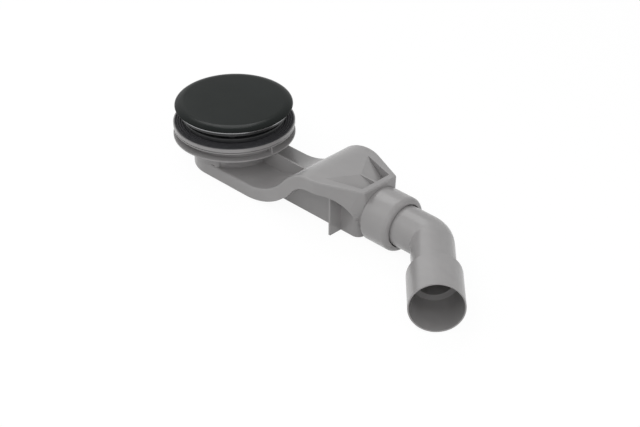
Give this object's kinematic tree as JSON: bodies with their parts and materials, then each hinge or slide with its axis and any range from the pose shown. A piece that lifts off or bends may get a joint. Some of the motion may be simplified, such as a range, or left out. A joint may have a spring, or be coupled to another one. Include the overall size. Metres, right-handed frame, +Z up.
{
  "type": "bath and shower waste trap",
  "caption": "Low-profile bath and shower waste trap: cover cap, clamped drain flange, flat S-shaped water-seal duct, union collar and angled outlet elbow.",
  "frame": {"origin": "on the drain axis, level with the top of the tray gasket, where the underside of the tray or bath sits", "axes": "+Z up along the drain axis, +X along the flat duct towards the outlet, and the elbow turns 45 degrees towards -Y"},
  "size_m": [0.4076, 0.1505, 0.0678],
  "materials": {
    "grey_plastic": "moulded light grey polypropylene, satin",
    "black_plastic": "moulded black plastic, satin",
    "white_plastic": "moulded natural polypropylene",
    "black_rubber": "matt moulded rubber",
    "cap_coating": "matt anthracite coating",
    "bright_trim": "bright metal ring",
    "stainless": "plain stainless steel",
    "brass": "turned brass"
  },
  "bodies": {
    "root": {"clamp_flange": "black_plastic", "clamp_screw_1": "stainless", "clamp_screw_2": "stainless", "clamp_screw_3": "stainless", "clamp_screw_4": "stainless", "cover_cap": "cap_coating", "cover_carrier": "black_plastic", "cover_trim_ring": "bright_trim", "flange_seal": "black_rubber", "gasket_carrier": "grey_plastic", "outlet_collar": "grey_plastic", "outlet_elbow": "grey_plastic", "outlet_seal": "black_rubber", "outlet_slip_ring": "white_plastic", "strainer_basket": "white_plastic", "strainer_o_ring": "black_rubber", "thread_insert_1": "brass", "thread_insert_2": "brass", "thread_insert_3": "brass", "thread_insert_4": "brass", "trap_lower_shell": "grey_plastic", "trap_upper_shell": "grey_plastic", "tray_gasket": "black_rubber"}
  },
  "joints": []
}
